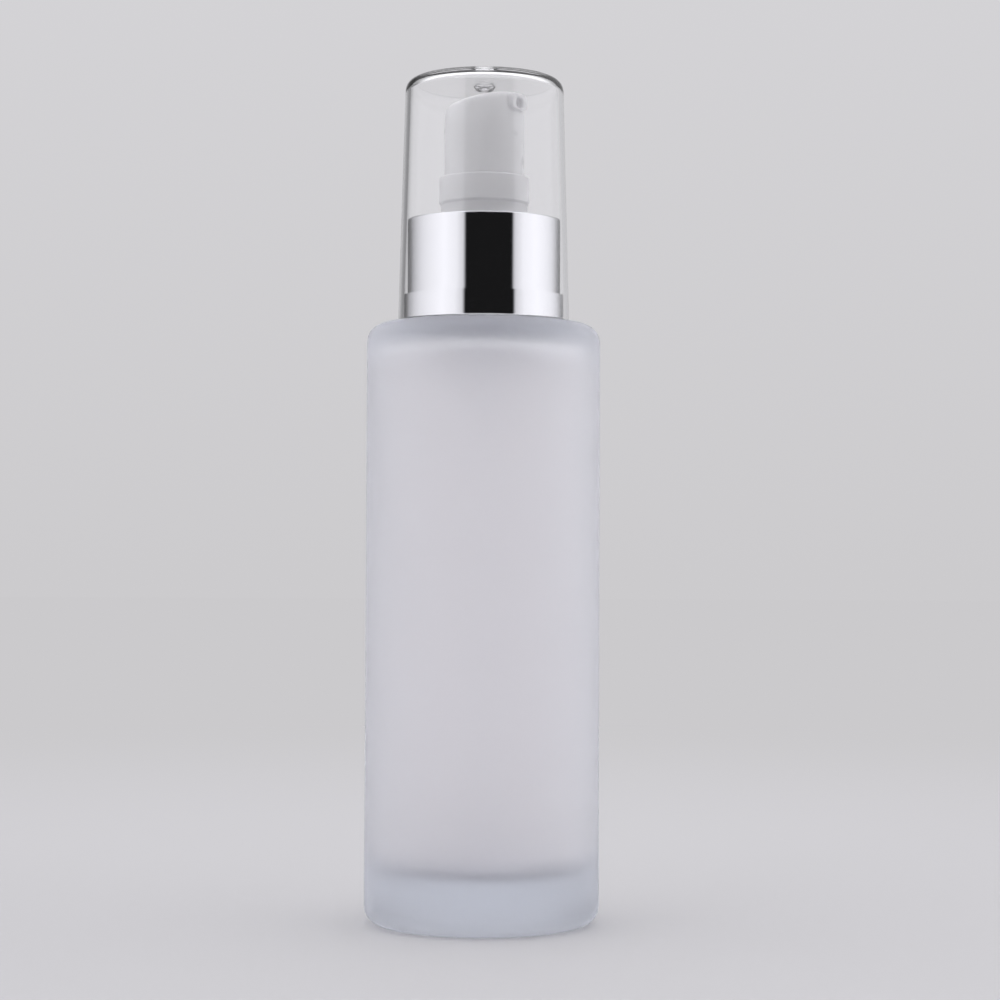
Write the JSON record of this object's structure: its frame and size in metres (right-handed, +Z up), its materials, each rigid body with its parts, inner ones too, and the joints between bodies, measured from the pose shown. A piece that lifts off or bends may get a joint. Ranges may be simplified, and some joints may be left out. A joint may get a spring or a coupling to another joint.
{
  "type": "foundation bottle",
  "caption": "Slim cylindrical frosted-glass bottle with a polished collar, a press-down lotion pump and a clear lift-off overcap.",
  "frame": {"origin": "centre of the base, on the surface that the bottle stands on", "axes": "+Z up along the bottle's axis, -Y towards the viewer at the front; the nozzle points to +X, turned 35 degrees towards -Y"},
  "size_m": [0.041, 0.041, 0.1482],
  "materials": {
    "frosted_glass": "acid-frosted outside, clear thick base",
    "clear_plastic": "clear, polished",
    "chrome": "mirror-polished",
    "white_plastic": "semi-gloss moulded",
    "natural_plastic": "natural translucent moulded",
    "foam": "soft expanded plastic",
    "spring_steel": "bright drawn wire"
  },
  "bodies": {
    "bottle": {"glass_bottle": "frosted_glass"},
    "engine": {"pump_housing": "natural_plastic", "turret_ring": "white_plastic", "neck_gasket": "foam", "dip_tube": "natural_plastic", "return_spring": "spring_steel"},
    "collar": {"closure_nut": "natural_plastic", "collar_shell": "chrome"},
    "cap": {"overcap": "clear_plastic"},
    "stem": {"stem": "natural_plastic", "piston_core": "natural_plastic"},
    "piston": {"piston": "natural_plastic"},
    "head": {"pump_head": "white_plastic"},
    "ball": {"check_ball": "spring_steel"}
  },
  "joints": [
    {"name": "engine_lift", "type": "slide", "parent": "bottle", "child": "engine", "axis": [0, 0, 1], "range_m": [0, 0.0048]},
    {"name": "collar_unscrew", "type": "hinge", "parent": "engine", "child": "collar", "pos_m": [0, 0, 0.1142], "axis": [0, 0, 1], "range_deg": [0, 540]},
    {"name": "cap_lift", "type": "slide", "parent": "collar", "child": "cap", "axis": [0, 0, 1], "range_m": [0, 0.05]},
    {"name": "pump_press", "type": "slide", "parent": "engine", "child": "stem", "axis": [0, 0, -1], "range_m": [0, 0.0045], "stiffness_N_per_m": 1000, "springref_m": -0.008, "deforming": ["return_spring"]},
    {"name": "piston_float", "type": "slide", "parent": "stem", "child": "piston", "axis": [0, 0, 1], "range_m": [0, 0.0008]},
    {"name": "head_turn", "type": "hinge", "parent": "stem", "child": "head", "pos_m": [0, 0, 0.1364], "axis": [0, 0, 1], "continuous": true},
    {"name": "ball_lift", "type": "slide", "parent": "engine", "child": "ball", "axis": [0, 0, 1], "range_m": [0, 0.0012]}
  ],
  "couplings": [
    {"joint": "engine_lift", "follows": "collar_unscrew", "m_per_rad": 0.00050531}
  ]
}
